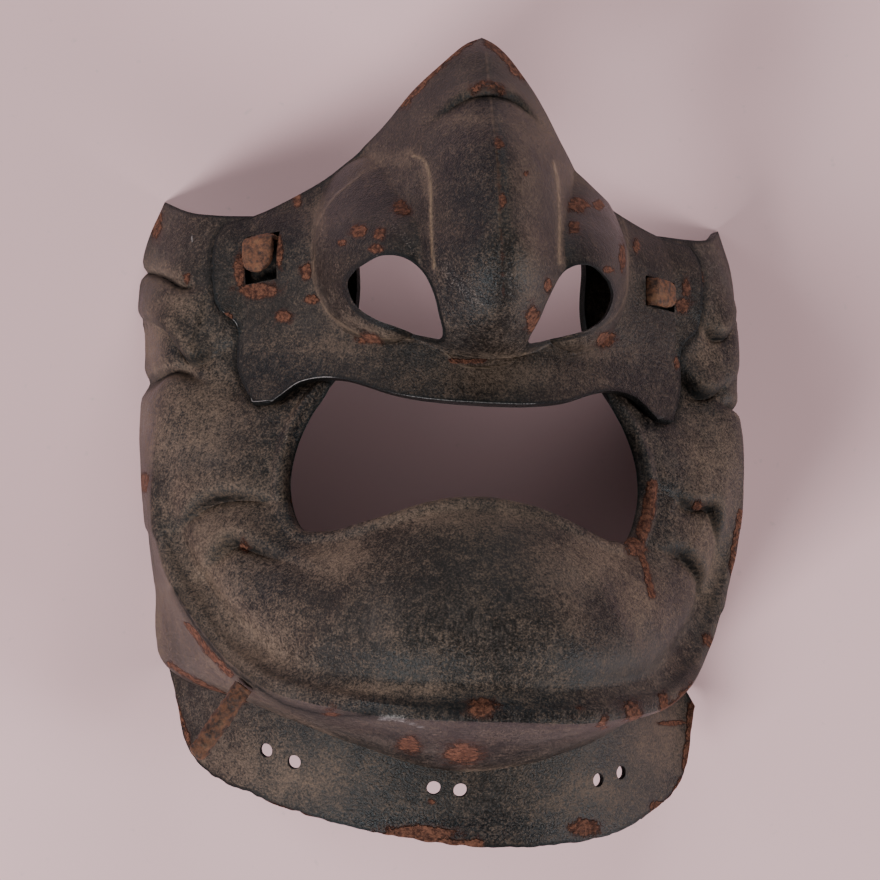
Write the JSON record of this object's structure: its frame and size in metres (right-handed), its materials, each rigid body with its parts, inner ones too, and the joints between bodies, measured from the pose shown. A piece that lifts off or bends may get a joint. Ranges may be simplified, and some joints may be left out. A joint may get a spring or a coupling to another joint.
{
  "type": "samurai face guard",
  "caption": "Iron half-mask with a beaten, creased face: open mouth, hooked-on nose piece with nostrils, jaw ridge, lapped throat plate with lacing holes, and a helmet-cord peg.",
  "frame": {"origin": "on the plane of the rear rim, under the middle of the bounding box", "axes": "+X to the right of someone who looks at the face, +Y from the chin to the top of the nose, +Z out of the face"},
  "size_m": [0.1489, 0.1911, 0.1018],
  "materials": {
    "blackened_iron": "beaten, blackened iron plate with a satin patina, tan dust in the creases and rust spots",
    "rusty_iron": "bare forged iron, rusted brown"
  },
  "bodies": {
    "root": {"mask_body": "blackened_iron", "nose_piece": "blackened_iron", "throat_plate": "blackened_iron", "cord_peg": "rusty_iron", "nose_hook_left": "rusty_iron", "nose_hook_right": "rusty_iron"}
  },
  "joints": []
}
